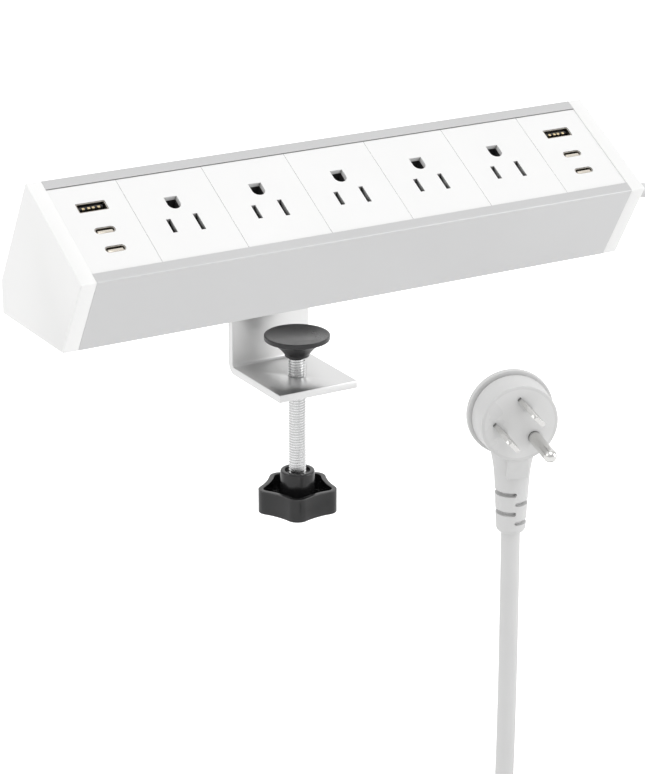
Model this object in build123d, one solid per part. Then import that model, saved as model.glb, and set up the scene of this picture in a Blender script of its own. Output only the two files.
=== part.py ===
from build123d import *
import os
from math import atan2, cos, degrees, pi, radians, sin, sqrt, tan

# Desk power strip with a screw clamp, in millimetres, +Z up and +X along the strip.
# The origin is on the clamp screw's axis, in the plane of the desk top that the strip rests on.

os.makedirs("parts", exist_ok=True)

# ---- driving dimensions ------------------------------------------------------------------
outlet_count = 5
outlet_width = 39.8
usb_width = 31.6
cap_thickness = 7.2

face_length = 59.0  # slanted face, from the apex down to the nose
face_tilt = 30.0
nose_height = 40.2  # front face, from the nose down to the bottom edge
back_height = 57.0  # sloping back, from the apex down to the rear step
housing_wall = 1.8
lip_top = 5.2  # strips of the extrusion left above and below the module faces
lip_bottom = 5.1
front_overhang = 50.0  # from the screw's axis to the bottom front edge

face_plate = 2.2
face_recess = 0.4
module_seam = 0.12
face_gap = 0.15
ledge_reach = 2.0
ledge_thickness = 1.2

slot_spacing = 12.7
slot_shift = -0.95  # the slots stand this far left of their module's middle
slot_offset = 5.75  # down the slope from the middle of the module faces
slot_wide = 2.1
line_slot_length = 7.8
neutral_slot_length = 9.4
ground_offset = -6.15
ground_wide = 6.0
ground_flat = 4.0  # from the ground hole's centre up to its flat side

port_shift = -0.4
usb_a_offset = -11.45
usb_c_offsets = (2.15, 12.85)
usb_a_size = (13.1, 5.1)
usb_c_size = (9.0, 3.3)
port_gap = 0.15
board_down = 14.0  # depth of the circuit board below the slanted face
board_thickness = 1.6

sheet = 3.5  # bracket's sheet thickness, and so the rubber feet's
bracket_width = 40.0
jaw_depth = 24.5  # from the screw's axis to the upright
bracket_front = 19.4  # from the screw's axis to the lower arm's edge
bracket_opening = 46.9
outer_bend = 5.0
inner_bend = 1.5
bracket_screw_x = 13.0
bracket_screw_radius = 1.95
bracket_head_radius = 3.9

screw_radius = 3.95
thread_clearance = 0.06
pad_radius = 14.9
pad_drop = 27.3  # from the desk top down to the pad, as it stands
pad_rim = 2.2
pad_height = 10.2
pad_neck_radius = 5.6
swivel_clearance = 0.08

knob_tip_radius = 18.6
knob_valley_radius = 15.2
knob_lobe_radius = 5.25
knob_top = 100.8
knob_height = 11.0
knob_wall = 2.3
knob_floor = 3.0
hub_radius = 7.9
hub_rise = 8.2
insert_radius = 5.8
insert_sink = 1.5  # from the hub's top down to the insert
knob_turn = 240.3  # direction in which one lobe points

foot_size = (30.0, 8.0)
foot_setback = 14.0
foot_inset = 12.0

cord_diameter = 7.0
cord_exit_setback = 19.5  # forward of the case's rear step
cord_exit_rise = 14.0  # above the case's underside
relief_length = 26.0
relief_base = 6.4
relief_tip = 4.7
relief_shoulder = 1.2  # step from the relief's base down to its neck in the cap
cord_floor = -168.0  # the surface that the free cord lies on

coil_centre = (-18.2, -287.6)
coil_radius = 37.0  # to the middle of the bundle of turns
coil_wide = 3  # turns side by side at the bottom of the bundle
tie_thickness = 1.0
tie_width = 12.0
tie_angle = 60.0

plug_face = (-54.7, -256.4, 25.4)
plug_turn = -17.3  # turn of the plug's face about the vertical
pin_turn = 45.0  # turn of the blades about the face's own axis
plug_radius = 14.25
plug_flare = 14.9
plug_depth = 10.6
plug_rim_radius = 16.2
plug_rim = 2.8
plug_axis_depth = 8.0  # from the face back to the cord's axis
plug_neck_wide = 14.4
plug_neck_deep = 12.6
plug_neck_drop = 21.6
sleeve_top_radius = 6.2
sleeve_tip_radius = 5.3
sleeve_tip_round = 1.5
sleeve_drop = 44.5
blade_size = (1.52, 6.35, 17.5)
blade_bevel = 1.2
blade_hole_radius = 1.3
blade_hole_reach = 11.9
blade_offset = 4.0  # blades' line to the disc's centre
pin_offset = 11.9  # blades' line to the ground pin
pin_radius = 2.38
pin_length = 21.0

# ---- frame of the slanted face --------------------------------------------------------------
tilt = radians(face_tilt)
body_length = 2 * usb_width + outlet_count * outlet_width
half_length = body_length / 2
bottom_front = (-front_overhang, sheet)
nose = (bottom_front[0] - nose_height * sin(tilt), sheet + nose_height * cos(tilt))
apex = (nose[0] + face_length * cos(tilt), nose[1] + face_length * sin(tilt))
rear_step = (apex[0] + back_height * sin(tilt), apex[1] - back_height * cos(tilt))
bottom_rear = (rear_step[0], sheet)
section = [bottom_front, nose, apex, rear_step, bottom_rear]
cord_exit_y = rear_step[0] - cord_exit_setback
cord_exit_z = sheet + cord_exit_rise
face_top = lip_top + face_gap
face_bottom = face_length - lip_bottom - face_gap
plate_back = face_recess + face_plate


def on_face(x, down, out=0.0):
    """Place on the slanted face: x along the strip, down the slope from the apex, out from it."""
    y = apex[0] - down * cos(tilt) - out * sin(tilt)
    z = apex[1] - down * sin(tilt) + out * cos(tilt)
    return Plane(origin=(x, y, z), x_dir=(1, 0, 0), z_dir=(0, -sin(tilt), cos(tilt))).location


def sunk_box(x, down, wide, tall, top, bottom):
    """Box square to the slanted face, between two depths below it."""
    return on_face(x, down, -(top + bottom) / 2) * Box(wide, tall, bottom - top)


def sunk_pin(x, down, radius, top, bottom):
    """Round pin square to the slanted face, between two depths below it."""
    return on_face(x, down, -(top + bottom) / 2) * Cylinder(radius, bottom - top)


def sunk_prism(outline, x, down, top, bottom):
    """A flat outline pushed down square to the slanted face, between two depths."""
    return on_face(x, down, -bottom) * extrude(outline, amount=bottom - top)


def save(node, *solids):
    """One node's file, as one solid or as a group of separate ones."""
    shape = solids[0] if len(solids) == 1 else Compound(children=list(solids))
    export_step(shape, f"parts/{node}.step")


def yz_outline(points):
    """Filled outline in the plane across the strip, from (y, z) points."""
    return make_face(Plane.YZ * Polyline(*points, close=True))


def across(outline, length):
    """An outline across the strip, pushed out evenly to both sides of the middle."""
    return extrude(outline, amount=length / 2, both=True)


# ---- housing ------------------------------------------------------------------------------
def section_face(inset=0.0):
    """Filled cross-section of the housing, drawn in by an amount."""
    outline = make_face(Polyline(*section, close=True))
    return offset(outline, -inset, kind=Kind.INTERSECTION) if inset else outline


def slope_rectangle(down_from, down_to, depth_from, depth_to):
    """Outline across the strip of a rectangle square to the slanted face."""
    corners = [
        (down_from, depth_from),
        (down_to, depth_from),
        (down_to, depth_to),
        (down_from, depth_to),
    ]
    return yz_outline(
        [
            (
                apex[0] - s * cos(tilt) + d * sin(tilt),
                apex[1] - s * sin(tilt) - d * cos(tilt),
            )
            for s, d in corners
        ]
    )


rail_half = bracket_head_radius + 2.6
rail_rise = 3.2
case_round = 0.6
cap_round = 0.7
foot_round = 2.0


def housing():
    """Extruded case: a closed skin, open along its slanted face, with two ledges and a rail."""
    skin = fillet((Plane.YZ * section_face()).vertices(), case_round)
    shell = across(skin, body_length)
    shell -= across(Plane.YZ * section_face(housing_wall), body_length)
    shell -= across(slope_rectangle(lip_top, face_length - lip_bottom, -2, housing_wall + 2), body_length)
    ledge_top, ledge_low = plate_back, plate_back + ledge_thickness
    upper = slope_rectangle(housing_wall / 2, lip_top + ledge_reach, ledge_top, ledge_low)
    lower = slope_rectangle(
        face_length - lip_bottom - ledge_reach, face_length - housing_wall / 2, ledge_top, ledge_low
    )
    rail_low, rail_high = sheet + housing_wall / 2, sheet + housing_wall + rail_rise
    rail = yz_outline(
        [(-rail_half, rail_low), (rail_half, rail_low), (rail_half, rail_high), (-rail_half, rail_high)]
    )
    for rib in (upper, lower, rail):
        shell += across(rib, body_length)
    for x in (-bracket_screw_x, bracket_screw_x):
        shell -= Pos(x, 0, sheet) * Cylinder(bracket_screw_radius, 4 * housing_wall + 4 * rail_rise)
    return shell


cap_socket = 5.0
cap_fit = 0.12
spigot_wall = 1.5


def end_cap(side):
    """Moulded end cap with a hollow spigot that plugs into the case."""
    outer = Pos(side * half_length, 0, 0) * (Plane.YZ * section_face())
    plate = extrude(outer, amount=side * cap_thickness)
    rim = plate.faces().sort_by(Axis.X)[-1 if side > 0 else 0].edges()
    long_edges = plate.edges().filter_by(Axis.X)
    plate = fillet(list(rim) + list(long_edges), cap_round)
    inner = Plane.YZ * section_face(housing_wall + cap_fit)
    core = Plane.YZ * section_face(housing_wall + cap_fit + spigot_wall)
    start = side * (half_length + cap_thickness / 4)
    depth = -side * (cap_socket + cap_thickness / 4)
    spigot = extrude(Pos(start, 0, 0) * inner, amount=depth)
    spigot -= extrude(Pos(start, 0, 0) * core, amount=2 * depth)
    face_slot = slope_rectangle(0, face_length, -2, plate_back + ledge_thickness + cap_fit)
    slot_tall = 2 * (housing_wall + rail_rise + cap_fit)
    rail_slot = Pos(0, 0, sheet) * Box(body_length, 2 * rail_half + 2 * cap_fit, slot_tall)
    spigot -= across(face_slot, 2 * body_length)
    spigot -= rail_slot
    cap = plate + spigot
    if side > 0:
        hole = Pos(half_length, cord_exit_y, cord_exit_z) * Rot(0, 90, 0)
        cap -= hole * Cylinder(relief_base - relief_shoulder + cap_fit, 4 * cap_thickness)
    return cap


def feet():
    """Four rubber pads, as thick as the bracket's sheet, that carry the case on the desk."""
    pads = []
    x = half_length - foot_inset - foot_size[0] / 2
    front = bottom_front[0] + foot_setback + foot_size[1] / 2
    rear = bottom_rear[0] - 2.0 - foot_size[1] / 2
    for px in (-x, x):
        for py in (front, rear):
            pad = Pos(px, py, sheet / 2) * Box(*foot_size, sheet)
            pads.append(fillet(pad.edges().filter_by(Axis.Z), foot_round))
    return pads


save("housing_profile", housing())
save("left_end_cap", end_cap(-1))
save("right_end_cap", end_cap(1))
save("rubber_feet", *feet())

# ---- mains outlets ---------------------------------------------------------------------------
face_span = face_bottom - face_top
face_middle = (face_top + face_bottom) / 2
slot_down = face_middle + slot_offset
ground_down = face_middle + ground_offset
usb_a_down = face_middle + usb_a_offset
usb_c_downs = [face_middle + offset_down for offset_down in usb_c_offsets]
base_top = plate_back
base_bottom = base_top + 21.0
face_round = 0.25
bus_thickness = 0.8
contact_gap = 1.9
contact_leaf = 0.5
leaf_wide = 4.4
bus_wide = 5.0
bus_shift = {"line": -5.2, "neutral": 5.2, "ground": 0.0}  # strips beside their contacts
bus_overrun = 6.0
line_x = slot_shift - slot_spacing / 2
neutral_x = slot_shift + slot_spacing / 2
outlet_middles = [(i - (outlet_count - 1) / 2) * outlet_width for i in range(outlet_count)]
contacts_down = {"line": slot_down, "neutral": slot_down, "ground": ground_down}
contacts_x = {"line": line_x, "neutral": neutral_x, "ground": slot_shift}


def ground_outline(grow=0.0):
    """The ground hole: round below and flat above."""
    radius = ground_wide / 2 + grow
    flat = Pos(0, (ground_flat + grow) / 2) * Rectangle(2 * radius, ground_flat + grow)
    return Circle(radius) + flat


def outlet_face(x):
    """Cover of one outlet, with its two blade slots and ground hole."""
    plate = sunk_box(x, face_middle, outlet_width - module_seam, face_span, face_recess, plate_back)
    plate = fillet(plate.faces().sort_by(Axis.Z)[-1].edges(), face_round)
    cuts = [(line_x, line_slot_length), (neutral_x, neutral_slot_length)]
    for slot_x, length in cuts:
        plate -= sunk_box(x + slot_x, slot_down, slot_wide, length, -1, plate_back + 1)
    plate -= sunk_prism(ground_outline(), x + slot_shift, ground_down, -1, plate_back + 1)
    return plate


def outlet_base(x):
    """Insulating block behind a cover, with an open chamber around each contact."""
    top, bottom = face_top + ledge_reach + 1.0, face_bottom - ledge_reach - 1.0
    block = sunk_box(x, (top + bottom) / 2, outlet_width - 1.0, bottom - top, base_top, base_bottom)
    for slot_x, length in [(line_x, line_slot_length), (neutral_x, neutral_slot_length)]:
        chamber = 2 * contact_gap + 2 * contact_leaf
        block -= sunk_box(x + slot_x, slot_down, chamber, length, base_top - 1, base_bottom + 1)
    block -= sunk_prism(ground_outline(0.6), x + slot_shift, ground_down, base_top - 1, base_bottom + 1)
    return block


def bus_bar(name):
    """One strip along all the outlets, with a pair of spring leaves rising at each of them."""
    down, x_contact = contacts_down[name], contacts_x[name]
    strip_down = down + bus_shift[name]
    low = base_bottom + bus_thickness
    reach = outlet_count * outlet_width + 2 * bus_overrun
    bar = sunk_box(0, strip_down, reach, bus_wide, base_bottom, low)
    tab_wide = contact_gap + 2 * contact_leaf
    tab_tall = abs(bus_shift[name]) + leaf_wide
    for x in outlet_middles:
        bar += sunk_box(x + x_contact, down + bus_shift[name] / 2, tab_wide, tab_tall, base_bottom, low)
        for side in (-1, 1):
            leaf_x = x + x_contact + side * (contact_gap + contact_leaf) / 2
            bar += sunk_box(leaf_x, down, contact_leaf, leaf_wide, base_top + 4.0, low)
    return bar


for number, middle in enumerate(outlet_middles, 1):
    save(f"outlet_face_{number}", outlet_face(middle))
    save(f"outlet_base_{number}", outlet_base(middle))
for name in contacts_x:
    save(f"{name}_bus_bar", bus_bar(name))

# ---- USB modules -----------------------------------------------------------------------------
usb_middle = half_length - usb_width / 2
board_top = board_down
board_bottom = board_down + board_thickness
shell_wall = 0.35
usb_a_corner = 0.5
port_sink = 0.2  # sleeves' rims below the cover's face
can_radius = 3.6
can_height = 10.0
lead_radius = 0.8
transformer_size = (13.0, 15.0, 11.0)


def rounded(size, radius, grow=0.0):
    """Rounded rectangle, larger than its size by a gap all round."""
    wide, tall = size[0] + 2 * grow, size[1] + 2 * grow
    return RectangleRounded(wide, tall, min(radius + grow, tall / 2 - 0.01))


def ports(x):
    """Each port of a USB module: its outline's size and corner, its x and its place down the slope."""
    found = [(usb_a_size, usb_a_corner, x + port_shift, usb_a_down)]
    return found + [(usb_c_size, usb_c_size[1] / 2, x + port_shift, d) for d in usb_c_downs]


def usb_face(x):
    """Cover of a USB module, with one wide port and two small ones."""
    plate = sunk_box(x, face_middle, usb_width - module_seam, face_span, face_recess, plate_back)
    plate = fillet(plate.faces().sort_by(Axis.Z)[-1].edges(), face_round)
    for size, corner, px, down in ports(x):
        plate -= sunk_prism(rounded(size, corner, port_gap), px, down, -1, plate_back + 1)
    return plate


def port_shell(size, corner, x, down):
    """Metal sleeve of one port, standing on the board, closed at its foot."""
    top = face_recess + port_sink
    sleeve = sunk_prism(rounded(size, corner), x, down, top, board_top)
    return sleeve - sunk_prism(rounded(size, corner, -shell_wall), x, down, top - 1, board_top - shell_wall)


def port_tongue(size, x, down, thick, shift):
    """Insulating tongue inside a port, standing on the sleeve's foot."""
    return sunk_box(x, down + shift, size[0] - 2.2, thick, face_recess + 1.6, board_top - shell_wall)


def board_leads(side):
    """Two stiff leads from the line and neutral bars up to the board."""
    lead_x = side * (outlet_count * outlet_width / 2 + bus_overrun - 2.0)
    downs = [contacts_down[name] + bus_shift[name] for name in ("line", "neutral")]
    return [sunk_pin(lead_x, down, lead_radius, board_bottom, base_bottom) for down in downs]


for side, hand in ((-1, "left"), (1, "right")):
    middle = side * usb_middle
    save(f"usb_face_{hand}", usb_face(middle))
    board_top_edge, board_low_edge = face_top + ledge_reach + 1.0, face_bottom - ledge_reach - 1.0
    board = sunk_box(
        middle - side * 1.2,
        (board_top_edge + board_low_edge) / 2,
        usb_width - 4.0,
        board_low_edge - board_top_edge,
        board_top,
        board_bottom,
    )
    save(f"usb_board_{hand}", board)
    wide, *small = ports(middle)
    save(f"usb_a_shell_{hand}", port_shell(*wide))
    save(f"usb_a_tongue_{hand}", port_tongue(wide[0], wide[2], wide[3], 1.9, -0.6))
    save(f"usb_c_shells_{hand}", *[port_shell(*p) for p in small])
    save(f"usb_c_tongues_{hand}", *[port_tongue(p[0], p[2], p[3], 0.7, 0.0) for p in small])
    core_x = side * (usb_middle + 1.5)
    wide, tall, deep = transformer_size
    core = sunk_box(core_x, usb_a_down + 4.0, wide, tall, board_bottom, board_bottom + deep)
    save(f"usb_transformer_{hand}", fillet(core.edges(), 0.8))
    can_bottom = board_bottom + can_height
    can_down = usb_c_downs[1] - 1.0
    cans = [sunk_pin(core_x + dx, can_down, can_radius, board_bottom, can_bottom) for dx in (-4, 4)]
    save(f"usb_capacitors_{hand}", *cans)
    save(f"board_leads_{hand}", *board_leads(side))

# ---- clamp bracket and its screws -----------------------------------------------------------------
arm_low = -bracket_opening - sheet
bend_back = jaw_depth + sheet


def bracket():
    """Sheet bent into a C: a flange under the case, an upright behind and a tapped lower arm."""
    outline = yz_outline(
        [
            (-bracket_front, sheet),
            (bend_back, sheet),
            (bend_back, arm_low),
            (-bracket_front, arm_low),
            (-bracket_front, -bracket_opening),
            (jaw_depth, -bracket_opening),
            (jaw_depth, 0),
            (-bracket_front, 0),
        ]
    )
    plate = across(outline, bracket_width)
    bends = plate.edges().filter_by(Axis.X)
    outer = bends.filter_by_position(Axis.Y, bend_back - 0.1, bend_back + 0.1)
    plate = fillet(outer, outer_bend)
    inner = plate.edges().filter_by(Axis.X).filter_by_position(Axis.Y, jaw_depth - 0.1, jaw_depth + 0.1)
    plate = fillet(inner, inner_bend)
    plate -= Pos(0, 0, arm_low + sheet / 2) * Cylinder(screw_radius + thread_clearance, 2 * sheet)
    for x in (-bracket_screw_x, bracket_screw_x):
        plate -= Pos(x, 0, 0) * countersunk(0.1, sheet + 1)
    return plate


def countersunk(grow, length):
    """Countersunk screw's outline turned about its axis, head down, from z = 0 up."""
    head, shank = bracket_head_radius + grow, bracket_screw_radius + grow
    cone = head - shank
    points = [(0, 0), (head, 0), (head, 0.3), (shank, 0.3 + cone), (shank, length), (0, length)]
    return revolve(make_face(Plane.XZ * Polyline(*points, close=True)), Axis.Z)


save("clamp_bracket", bracket())
screw_sink = 0.1
lone_screw = countersunk(0, sheet + housing_wall + rail_rise)
save("bracket_screws", *[Pos(x, 0, screw_sink) * lone_screw for x in (-bracket_screw_x, bracket_screw_x)])

# ---- clamp screw, pressure pad and knob --------------------------------------------------------------
pad_top = -pad_drop
pad_bottom = pad_top - pad_height
ball_radius = screw_radius - 0.45
neck_radius = screw_radius - 1.25
ball_top = pad_top - 3.0
ball_low = ball_top - 3.0
neck_low = pad_bottom - 0.2
knob_bottom = -knob_top - knob_height
hub_top = -knob_top + hub_rise
lobe_count = 5


def turned(points):
    """Solid of revolution about the screw's axis, from (radius, z) points."""
    return revolve(make_face(Plane.XZ * Polyline(*points, close=True)), Axis.Z)


def clamp_screw():
    """Threaded rod, drawn at its thread's outside, with a swivel end at the top."""
    rod = turned(
        [
            (0, ball_top),
            (ball_radius, ball_top),
            (ball_radius, ball_low),
            (neck_radius, ball_low),
            (neck_radius, neck_low),
            (screw_radius, neck_low),
            (screw_radius, knob_bottom + knob_floor),
            (0, knob_bottom + knob_floor),
        ]
    )
    return rod


def pressure_pad():
    """Swivel pad: a flat disc that flares down to a neck around the screw's end."""
    c = swivel_clearance
    shoulder = pad_top - pad_rim
    flare_end = (pad_neck_radius, pad_bottom)
    flare_mid = (pad_neck_radius + 2.1, (shoulder + pad_bottom) / 2 - 0.9)
    outline = [
        Line((0, pad_top), (pad_radius, pad_top)),
        Line((pad_radius, pad_top), (pad_radius, shoulder)),
        ThreePointArc((pad_radius, shoulder), flare_mid, flare_end),
        Line(flare_end, (neck_radius + c, pad_bottom)),
        Line((neck_radius + c, pad_bottom), (neck_radius + c, ball_low - c)),
        Line((neck_radius + c, ball_low - c), (ball_radius + c, ball_low - c)),
        Line((ball_radius + c, ball_low - c), (ball_radius + c, ball_top + c)),
        Line((ball_radius + c, ball_top + c), (0, ball_top + c)),
        Line((0, ball_top + c), (0, pad_top)),
    ]
    pad = revolve(make_face(Plane.XZ * Wire(outline)), Axis.Z)
    rim = pad.edges().filter_by(GeomType.CIRCLE).filter_by(lambda e: abs(e.radius - pad_radius) < 0.01)
    return fillet(rim, 0.6)


def star(inset=0.0):
    """Five-lobed outline, its round lobes and hollow flanks tangent arcs, drawn in by an amount."""

    def at(radius, angle):
        turn = radians(knob_turn + angle)
        return (radius * cos(turn), radius * sin(turn))

    tip, valley, lobe = knob_tip_radius - inset, knob_valley_radius - inset, knob_lobe_radius - inset
    half_step = radians(180 / lobe_count)
    lobe_far = tip - lobe
    along = lobe_far * cos(half_step)
    hollow = (lobe_far**2 + valley**2 - 2 * along * valley - lobe**2) / (2 * (lobe + along - valley))
    hollow_far = valley + hollow
    share = lobe / (lobe + hollow)
    join_x = lobe_far + share * (hollow_far * cos(half_step) - lobe_far)
    join_y = share * hollow_far * sin(half_step)
    flank, spread = sqrt(join_x**2 + join_y**2), degrees(atan2(join_y, join_x))
    edges = []
    for number in range(lobe_count):
        a = number * 360 / lobe_count
        b = a + 360 / lobe_count
        edges.append(ThreePointArc(at(flank, a - spread), at(tip, a), at(flank, a + spread)))
        edges.append(ThreePointArc(at(flank, a + spread), at(valley, (a + b) / 2), at(flank, b - spread)))
    return make_face(Wire(edges))


def knob():
    """Star knob, hollow above around a hub that holds the threaded insert."""
    body = Pos(0, 0, knob_bottom) * extrude(star(), amount=knob_height)
    lower = body.faces().sort_by(Axis.Z)[0].edges()
    body = fillet(lower, 1.6)
    body -= Pos(0, 0, knob_bottom + knob_floor) * extrude(star(knob_wall), amount=knob_height)
    hub_height = hub_top - knob_bottom - knob_floor / 2
    hub = Pos(0, 0, hub_top - hub_height / 2) * Cylinder(hub_radius, hub_height)
    body += fillet(hub.faces().sort_by(Axis.Z)[-1].edges(), 0.8)
    insert_depth = hub_top - knob_bottom - knob_floor
    body -= Pos(0, 0, hub_top - insert_depth / 2) * Cylinder(insert_radius, insert_depth)
    return body


def knob_insert():
    """Threaded bush moulded into the knob's hub."""
    depth = hub_top - insert_sink - knob_bottom - knob_floor
    bush = Cylinder(insert_radius, depth) - Cylinder(screw_radius, 2 * depth)
    return Pos(0, 0, hub_top - insert_sink - depth / 2) * bush


save("clamp_screw", clamp_screw())
save("pressure_pad", pressure_pad())
save("clamp_knob", knob())
save("knob_insert", knob_insert())

# ---- cord ------------------------------------------------------------------------------------------
cord_radius = cord_diameter / 2
cap_outside = half_length + cap_thickness
relief_end = cap_outside + relief_length
cord_rest = cord_floor + cord_radius
plug_plane = Plane(
    origin=plug_face,
    x_dir=(cos(radians(plug_turn)), sin(radians(plug_turn)), 0),
    z_dir=(sin(radians(plug_turn)), -cos(radians(plug_turn)), 0),
)
sleeve_end = plug_plane.from_local_coords(Vector(0, -sleeve_drop, -plug_axis_depth))

lead_route = [
    (relief_end, cord_exit_y, cord_exit_z),
    (relief_end + 21.0, cord_exit_y, cord_exit_z),
    (206.5, -11.0, 4.0),
    (218.5, -13.0, -20.0),
    (221.0, -17.0, -60.0),
    (219.5, -22.0, -98.0),
    (214.0, -31.0, -131.0),
    (203.0, -46.0, -154.0),
    (186.0, -68.0, cord_rest),
    (163.0, -100.0, cord_rest),
    (136.0, -143.0, cord_rest),
    (110.0, -190.0, cord_rest),
    (80.0, -233.0, cord_rest),
    (48.0, -272.0, cord_rest),
    (17.0, -313.2, cord_rest + tie_thickness),
]
upright_route = [
    (-56.3, -298.4, cord_rest + tie_thickness + 6.1),
    (-54.8, -277.6, cord_rest + tie_thickness + 6.4),
    (-53.4, -259.6, cord_rest + 18.4),
    (-52.6, -249.6, cord_rest + 37.0),
    (-52.0, -248.9, -92.0),
    (-51.9, -248.7, -55.0),
    (sleeve_end.X, sleeve_end.Y, sleeve_end.Z),
]


def tube(name, route, radius):
    """Cord along a hand-chosen route, with each corner as round as its two runs allow."""
    points = [Vector(*p) for p in route]
    radii = []
    for a, b, c in zip(points, points[1:], points[2:]):
        turn = radians((b - a).get_angle(c - b))
        radii.append(0.45 * min((b - a).length, (c - b).length) / tan(turn / 2))
    path = FilletPolyline(*points, radius=radii)
    start = Plane(origin=points[0], z_dir=points[1] - points[0])
    solid = sweep(start * Circle(radius), path=path)
    share = solid.volume / (pi * radius * radius * path.length)
    print(name, "length", round(path.length, 1), "volume share", round(share, 4))
    print(name, "bend radii", [round(r, 1) for r in radii])
    return solid


def cord_relief():
    """Tapered strain relief: through the cap's hole, with a collar inside."""
    inside = half_length
    neck = relief_base - relief_shoulder
    points = [
        (inside - 3.0, 0),
        (inside - 3.0, neck + 2.0),
        (inside, neck + 2.0),
        (inside, neck),
        (cap_outside, neck),
        (cap_outside, relief_base),
        (relief_end, relief_tip),
        (relief_end, 0),
    ]
    outline = make_face(Plane.XZ * Polyline(*points, close=True))
    return Pos(0, cord_exit_y, cord_exit_z) * revolve(outline, Axis.X)


bundle_half_wide = (coil_wide * cord_diameter) / 2
bundle_high = cord_diameter * (1 + sqrt(3) / 2)
bundle_low = cord_floor + tie_thickness


def coil():
    """Outer shape of the tied coil of spare cord: a round ring of turns, flat on the floor."""
    bundle = RectangleRounded(2 * bundle_half_wide, bundle_high, cord_radius)
    ring = revolve(Plane.XZ * (Pos(coil_radius, bundle_high / 2) * bundle), Axis.Z)
    return Pos(*coil_centre, bundle_low) * ring


def coil_tie():
    """Band that holds the coil's turns together, bent round with them."""
    gap = 0.05
    hole = RectangleRounded(2 * (bundle_half_wide + gap), bundle_high + 2 * gap, cord_radius + gap)
    band_wide = 2 * (bundle_half_wide + tie_thickness)
    band = RectangleRounded(band_wide, bundle_high + 2 * tie_thickness, cord_radius + tie_thickness)
    arc = degrees(tie_width / coil_radius)
    loop = revolve(Plane.XZ * (Pos(coil_radius, bundle_high / 2) * (band - hole)), Axis.Z, revolution_arc=arc)
    return Pos(*coil_centre, bundle_low) * Rot(0, 0, tie_angle) * loop


save("cord_relief", cord_relief())
save("cord_lead", tube("cord_lead", lead_route, cord_radius))
save("cord_upright", tube("cord_upright", upright_route, cord_radius))
save("cord_coil", coil())
save("cord_tie", coil_tie())

wire_radius = 1.3
wire_step = 3.0  # the wires leave the cord this far apart, across and up
wire_depth = base_bottom + bus_thickness + wire_radius
for step, name in enumerate(("neutral", "line", "ground"), -1):
    bar_down = contacts_down[name] + bus_shift[name]
    end = on_face(outlet_count * outlet_width / 2 + bus_overrun / 2, bar_down, -wire_depth).position
    start = Vector(half_length - 3.0, cord_exit_y + wire_step * step, cord_exit_z + wire_step * step)
    knee = Vector(end.X + 12.0, end.Y, end.Z - 4.0)
    wire = FilletPolyline(start, start - Vector(9, 0, 0), knee, end, radius=3.0)
    save(f"{name}_wire", sweep(Plane(origin=start, z_dir=(-1, 0, 0)) * Circle(wire_radius), path=wire))

# ---- plug ----------------------------------------------------------------------------------------------
plug = plug_plane.location
core_wall = 1.2
core_radius = plug_radius - core_wall
core_depth = 7.0
pin_root = 0.7 * core_depth  # how deep the blades and the pin stand in the core
rim_gap = 0.8
neck_round = 2.4
groove_count = 4
groove_step = 3.8
groove_wide = 1.5
groove_start = 6.9  # from the neck's foot down to the first groove


def plug_round(points):
    """Solid turned about the plug face's own axis, from (radius, distance in front) points."""
    return revolve(make_face(Plane.XZ * Polyline(*points, close=True)), Axis.Z)


def plug_body():
    """Moulded grip: a round head, a thin grip rim behind it, a square neck and a tapered sleeve."""
    rim_front = -plug_depth - rim_gap
    rim_back = rim_front - plug_rim
    head = plug_round(
        [
            (0, 0),
            (plug_radius - 0.5, 0),
            (plug_radius, -0.5),
            (plug_flare, -plug_depth),
            (plug_radius - 0.4, -plug_depth),
            (plug_radius - 0.4, rim_front),
            (plug_rim_radius - 0.5, rim_front),
            (plug_rim_radius, rim_front - 0.5),
            (plug_rim_radius, rim_back + 0.8),
            (plug_rim_radius - 0.8, rim_back),
            (0, rim_back - 0.6),
        ]
    )
    neck_low = -plug_neck_drop
    neck_high = -plug_radius / 2
    neck = Box(plug_neck_wide, neck_high - neck_low, plug_neck_deep)
    neck = fillet(neck.edges().filter_by(Axis.Y), neck_round)
    neck = Pos(0, (neck_high + neck_low) / 2, -plug_axis_depth) * neck
    sleeve_length = sleeve_drop - plug_neck_drop
    sleeve = Cone(sleeve_top_radius, sleeve_tip_radius, sleeve_length)
    sleeve = fillet(sleeve.edges().sort_by(Axis.Z)[-1], sleeve_tip_round)
    sleeve = Pos(0, neck_low - sleeve_length / 2, -plug_axis_depth) * Rot(90, 0, 0) * sleeve
    body = head + neck + sleeve
    for step in range(groove_count):
        side = -1 if step % 2 == 0 else 1
        y = -plug_neck_drop - groove_start - groove_step * step
        reach = sleeve_top_radius
        groove = Box(reach, groove_wide, 4 * reach)
        groove -= Rot(90, 0, 0) * Cylinder(sleeve_tip_radius - 0.9, 4)
        body -= Pos(side * (reach / 2 + 0.7), y, -plug_axis_depth) * groove
    pocket = Pos(0, 0, -core_depth / 2) * Cylinder(core_radius, core_depth)
    return body - pocket


def blade_place(dx, dy):
    """Place on the plug's face, in the blades' own turned directions."""
    return Rot(0, 0, pin_turn) * Pos(dx, dy, 0)


def blade(side):
    """Flat blade with a hole near its tip and bevelled end corners."""
    thick, wide, length = blade_size
    solid = Pos(0, 0, (length - pin_root) / 2) * Box(thick, wide, length + pin_root)
    tip = solid.faces().sort_by(Axis.Z)[-1].edges()
    solid = chamfer(tip.filter_by(Axis.X), blade_bevel)
    solid -= Pos(0, 0, blade_hole_reach) * Rot(0, 90, 0) * Cylinder(blade_hole_radius, 4 * thick)
    return blade_place(side * slot_spacing / 2, blade_offset) * solid


def ground_pin():
    """Round ground pin with a domed end."""
    pin = Pos(0, 0, (pin_length - pin_root) / 2) * Cylinder(pin_radius, pin_length + pin_root)
    pin = fillet(pin.faces().sort_by(Axis.Z)[-1].edges(), pin_radius - 0.1)
    return blade_place(0, blade_offset - pin_offset) * pin


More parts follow.
